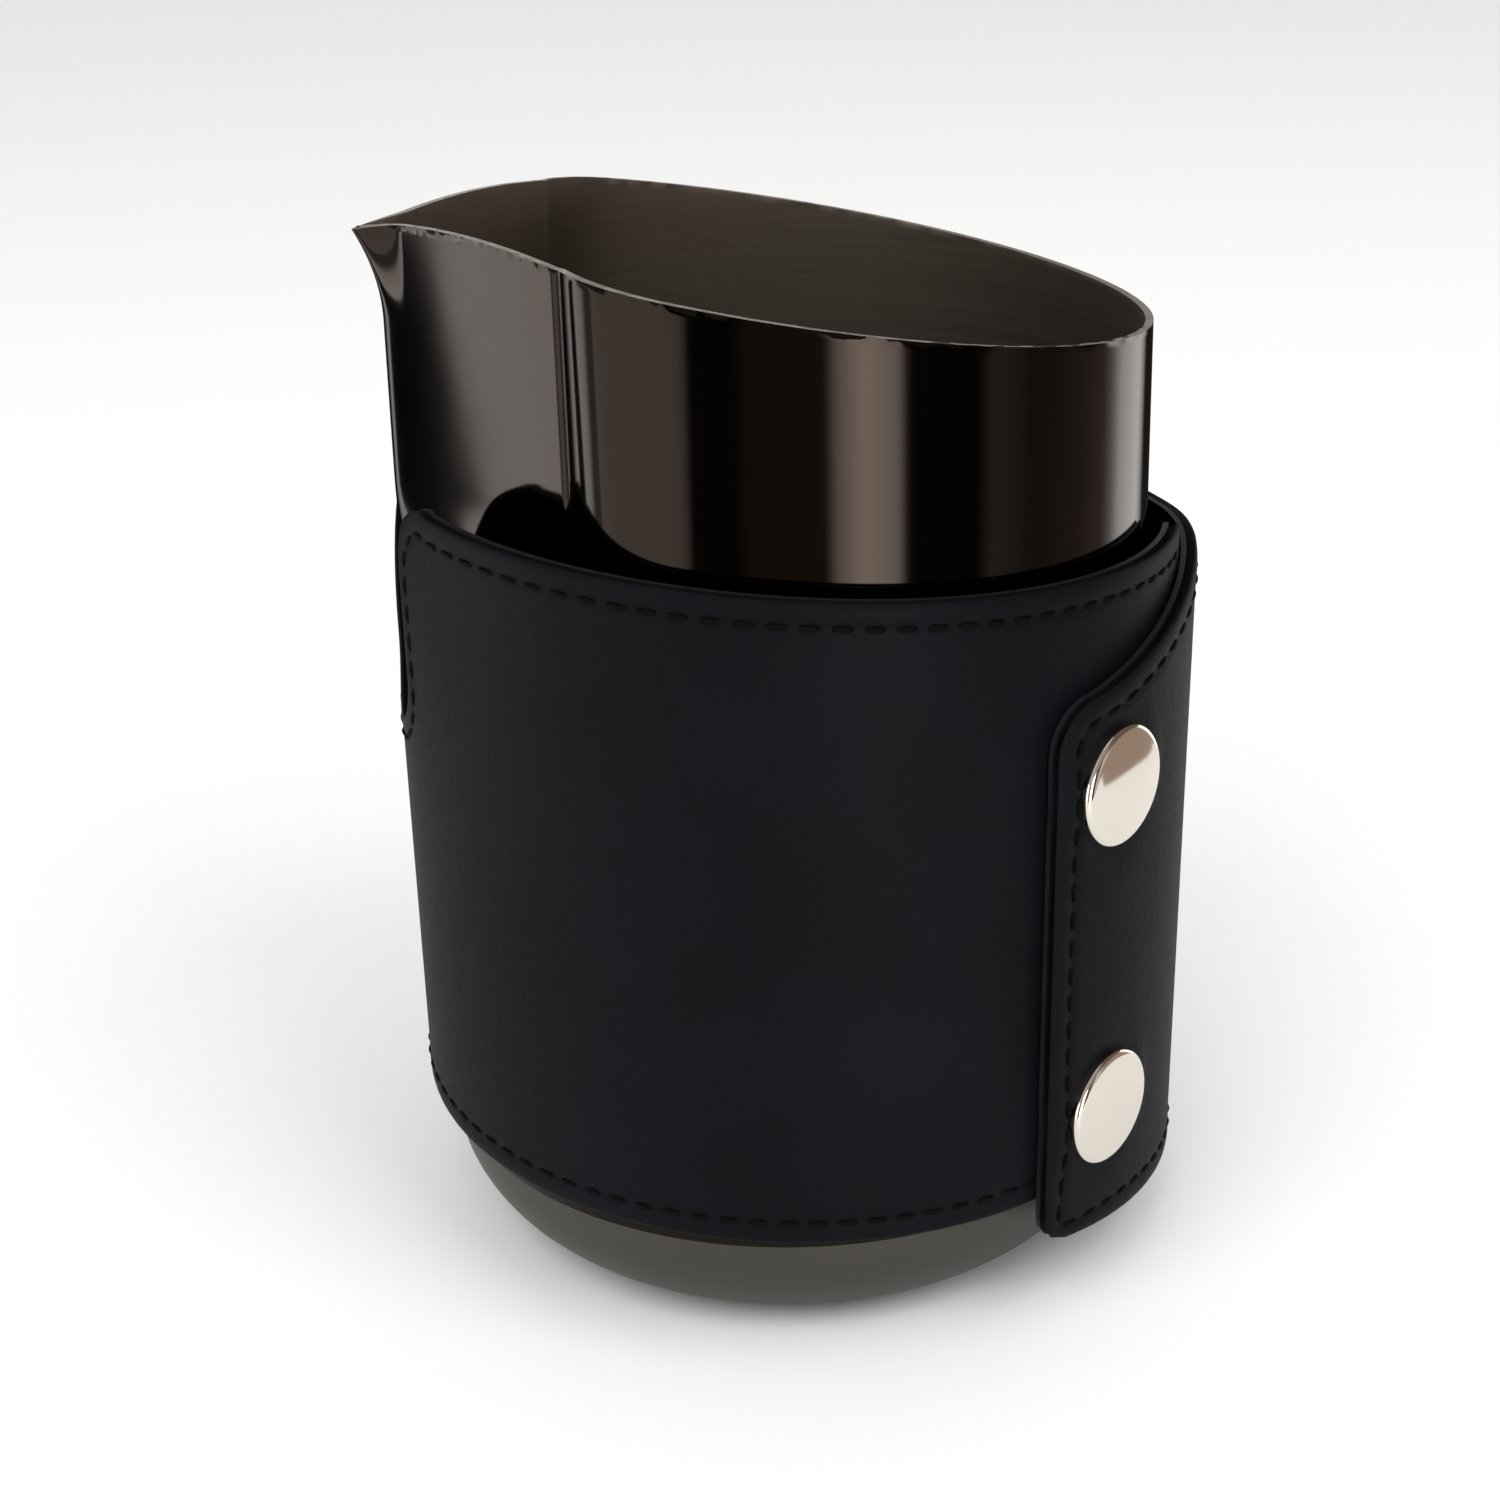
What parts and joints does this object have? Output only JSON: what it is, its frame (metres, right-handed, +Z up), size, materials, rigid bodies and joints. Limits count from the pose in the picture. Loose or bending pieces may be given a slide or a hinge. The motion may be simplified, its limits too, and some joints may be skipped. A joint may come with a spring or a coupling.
{
  "type": "milk frothing pitcher",
  "caption": "Handleless steel milk frothing pitcher with a slanted rim and a pinched pouring spout, in a wrap-around leather grip sleeve that snaps shut.",
  "frame": {"origin": "on the cup's axis, in the plane the base rests on", "axes": "+Z up along the cup's axis, -X towards the spout, -Y towards the side where the flap's snaps face"},
  "size_m": [0.086, 0.0836, 0.1123],
  "materials": {
    "black_steel": "black mirror-polished stainless steel",
    "navy_leather": "smooth navy-black veg-tanned leather with painted edges",
    "lining_leather": "thin matt black split-leather lining",
    "black_thread": "waxed black thread",
    "polished_nickel": "polished nickel plate",
    "spring_wire": "drawn spring wire"
  },
  "bodies": {
    "sleeve": {"sleeve_leather": "navy_leather", "sleeve_lining": "lining_leather", "sleeve_stitching": "black_thread", "upper_snap_stud": "polished_nickel", "upper_snap_eyelet": "polished_nickel", "lower_snap_stud": "polished_nickel", "lower_snap_eyelet": "polished_nickel"},
    "flap": {"flap_leather": "navy_leather", "flap_lining": "lining_leather", "flap_stitching": "black_thread", "upper_snap_cap": "polished_nickel", "upper_snap_socket": "polished_nickel", "upper_snap_spring": "spring_wire", "lower_snap_cap": "polished_nickel", "lower_snap_socket": "polished_nickel", "lower_snap_spring": "spring_wire"},
    "pitcher": {"pitcher_body": "black_steel"}
  },
  "joints": [
    {"name": "flap_hinge", "type": "hinge", "parent": "sleeve", "child": "flap", "pos_m": [0.04042, -0.01633, 0.04], "axis": [0, 0, 1], "range_deg": [0, 90]},
    {"name": "pitcher_slide", "type": "slide", "parent": "sleeve", "child": "pitcher", "axis": [0, 0, 1], "range_m": [0, 0.09]}
  ]
}
